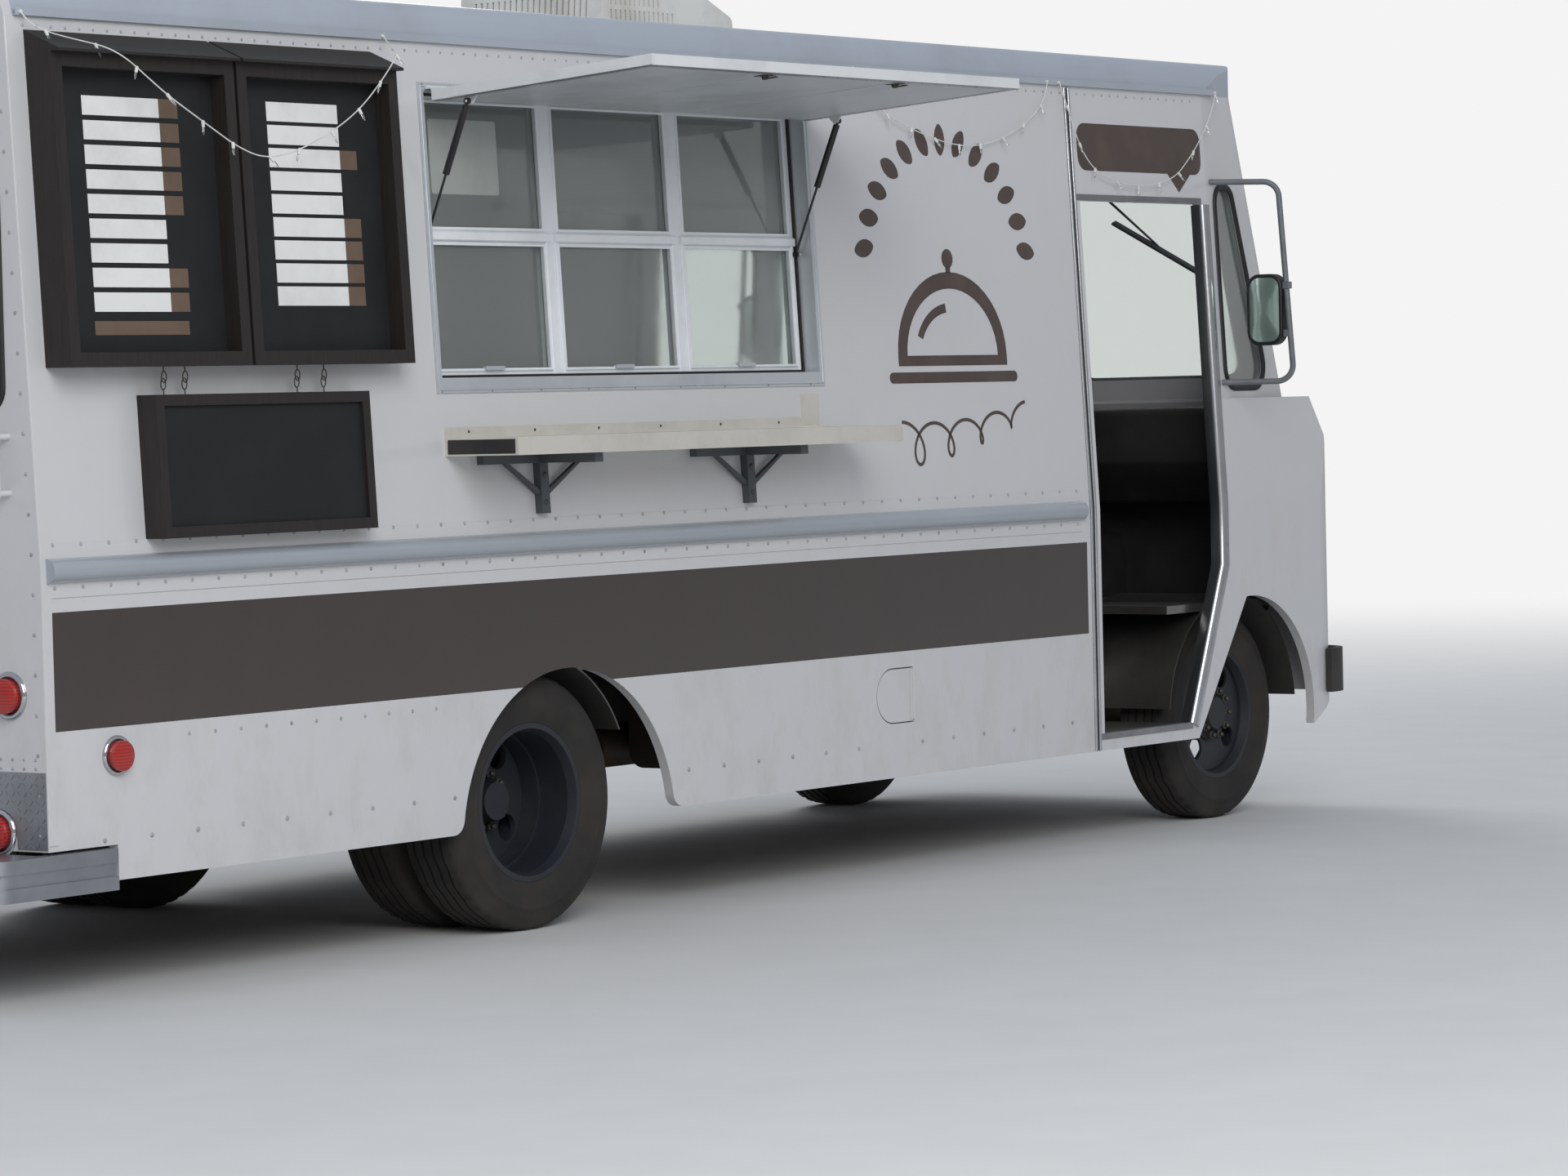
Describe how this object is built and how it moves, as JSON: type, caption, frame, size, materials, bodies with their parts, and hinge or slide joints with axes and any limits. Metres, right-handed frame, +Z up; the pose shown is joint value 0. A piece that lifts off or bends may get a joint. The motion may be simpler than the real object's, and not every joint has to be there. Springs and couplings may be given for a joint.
{
  "type": "food truck",
  "caption": "Step van food truck with a serving window under an awning hatch on gas struts, sliding cab doors and rear doors.",
  "frame": {"origin": "middle of the overall box, on the ground", "axes": "+X forward, +Y to the truck's left, +Z up; the serving side is -Y"},
  "size_m": [7.35, 3.2346, 3.1899],
  "materials": {
    "chassis_paint": "satin black chassis paint",
    "body_paint": "satin off-white paint on aluminium sheet",
    "roof_paint": "satin pale blue-grey paint",
    "black_plastic": "matte black plastic",
    "white_plastic": "white moulded plastic",
    "aluminium": "mill finish aluminium",
    "white_paint": "white painted frame",
    "steel": "brushed stainless steel",
    "bare_steel": "bare steel with road dirt",
    "cast_iron": "cast iron",
    "chrome": "bright chrome",
    "glass": "clear glass",
    "tyre": "dusty black tyre rubber",
    "wheel_paint": "dark blue-grey wheel paint",
    "lamp_red": "red lamp lenses",
    "board_paint": "dark framed boards",
    "seat_vinyl": "dark vinyl"
  },
  "bodies": {
    "body": {"frame_rails": "chassis_paint", "rear_axle": "cast_iron", "front_axle": "cast_iron", "leaf_springs": "bare_steel", "engine": "cast_iron", "exhaust": "bare_steel", "fuel_tank": "bare_steel", "floor": "steel", "side_wall_right": "body_paint", "side_wall_left": "body_paint", "rear_wall": "body_paint", "roof": "roof_paint", "cab_upper": "body_paint", "cab_lower": "body_paint", "grille": "black_plastic", "front_bumper": "chassis_paint", "rear_bumper": "aluminium", "lamps": "lamp_red", "belt_rails": "body_paint", "serving_frame": "aluminium", "sashes": "white_paint", "fixed_glass": "glass", "shelf": "steel", "shelf_brackets": "steel", "menu_boards": "board_paint", "mirrors": "black_plastic", "ac_unit": "white_plastic", "dashboard": "black_plastic", "steering_wheel": "black_plastic", "seat_base": "chassis_paint", "seat_cushions": "seat_vinyl", "galley": "steel", "engine_cover": "black_plastic", "wipers": "black_plastic"},
    "hatch": {"hatch": "aluminium"},
    "strut_barrel_rear": {"strut_barrel_rear": "chassis_paint"},
    "strut_rod_rear": {"strut_rod_rear": "chrome"},
    "strut_barrel_front": {"strut_barrel_front": "chassis_paint"},
    "strut_rod_front": {"strut_rod_front": "chrome"},
    "knuckle_right": {"knuckle_right": "cast_iron"},
    "wheel_front_right": {"rim_front_right": "wheel_paint", "tyre_front_right": "tyre"},
    "wheel_rear_right": {"rim_rear_right": "wheel_paint", "tyre_rear_right": "tyre"},
    "knuckle_left": {"knuckle_left": "cast_iron"},
    "wheel_front_left": {"rim_front_left": "wheel_paint", "tyre_front_left": "tyre"},
    "wheel_rear_left": {"rim_rear_left": "wheel_paint", "tyre_rear_left": "tyre"},
    "door_right": {"door_right": "body_paint", "door_right_glass": "glass"},
    "door_left": {"door_left": "body_paint", "door_left_glass": "glass"},
    "rear_door_right": {"rear_door_right": "body_paint", "rear_door_right_glass": "glass"},
    "rear_door_left": {"rear_door_left": "body_paint", "rear_door_left_glass": "glass"},
    "fuel_door": {"fuel_door": "body_paint"}
  },
  "joints": [
    {"name": "hatch_hinge", "type": "hinge", "parent": "body", "child": "hatch", "pos_m": [-0.755, -0.74147, 2.607], "axis": [1, 0, 0], "range_deg": [0, 90.81]},
    {"name": "strut_tilt_rear", "type": "hinge", "parent": "hatch", "child": "strut_barrel_rear", "pos_m": [-1.702, -0.89514, 2.55677], "axis": [1, 0, 0], "range_deg": [-117.66, 0.5]},
    {"name": "strut_slide_rear", "type": "slide", "parent": "strut_barrel_rear", "child": "strut_rod_rear", "axis": [0, -0.3963, 0.9181], "range_m": [0, 0.14171]},
    {"name": "strut_tilt_front", "type": "hinge", "parent": "hatch", "child": "strut_barrel_front", "pos_m": [0.192, -0.89514, 2.55677], "axis": [1, 0, 0], "range_deg": [-117.66, 0.5]},
    {"name": "strut_slide_front", "type": "slide", "parent": "strut_barrel_front", "child": "strut_rod_front", "axis": [0, -0.3963, 0.9181], "range_m": [0, 0.14171]},
    {"name": "steer_right", "type": "hinge", "parent": "body", "child": "knuckle_right", "pos_m": [2.905, -0.48407, 0.4], "axis": [0, 0, 1], "range_deg": [-25, 25]},
    {"name": "roll_front_right", "type": "hinge", "parent": "knuckle_right", "child": "wheel_front_right", "pos_m": [2.905, -0.54607, 0.4], "axis": [0, 1, 0], "continuous": true},
    {"name": "roll_rear_right", "type": "hinge", "parent": "body", "child": "wheel_rear_right", "pos_m": [-1.305, -0.51607, 0.4], "axis": [0, 1, 0], "continuous": true},
    {"name": "steer_left", "type": "hinge", "parent": "body", "child": "knuckle_left", "pos_m": [2.905, 1.07593, 0.4], "axis": [0, 0, 1], "range_deg": [-25, 25]},
    {"name": "roll_front_left", "type": "hinge", "parent": "knuckle_left", "child": "wheel_front_left", "pos_m": [2.905, 1.13793, 0.4], "axis": [0, 1, 0], "continuous": true},
    {"name": "roll_rear_left", "type": "hinge", "parent": "body", "child": "wheel_rear_left", "pos_m": [-1.305, 1.10793, 0.4], "axis": [0, 1, 0], "continuous": true},
    {"name": "door_slide_right", "type": "slide", "parent": "body", "child": "door_right", "axis": [1, 0, 0], "range_m": [0, 0.8]},
    {"name": "door_slide_left", "type": "slide", "parent": "body", "child": "door_left", "axis": [-1, 0, 0], "range_m": [0, 0.8]},
    {"name": "rear_door_hinge_right", "type": "hinge", "parent": "body", "child": "rear_door_right", "pos_m": [-3.4643, -0.32407, 1.63], "axis": [0, 0, 1], "range_deg": [0, 120]},
    {"name": "rear_door_hinge_left", "type": "hinge", "parent": "body", "child": "rear_door_left", "pos_m": [-3.4643, 0.91593, 1.63], "axis": [0, 0, -1], "range_deg": [0, 120]},
    {"name": "fuel_door_hinge", "type": "hinge", "parent": "body", "child": "fuel_door", "pos_m": [0.675, -0.80757, 0.615], "axis": [0, 0, 1], "range_deg": [0, 150]}
  ],
  "couplings": [
    {"joint": "strut_tilt_rear", "follows": "hatch_hinge", "ratio": -1.2902},
    {"joint": "strut_slide_rear", "follows": "hatch_hinge", "m_per_rad": 0.089095},
    {"joint": "strut_tilt_front", "follows": "hatch_hinge", "ratio": -1.2902},
    {"joint": "strut_slide_front", "follows": "hatch_hinge", "m_per_rad": 0.089095},
    {"joint": "steer_left", "follows": "steer_right", "ratio": 1}
  ]
}
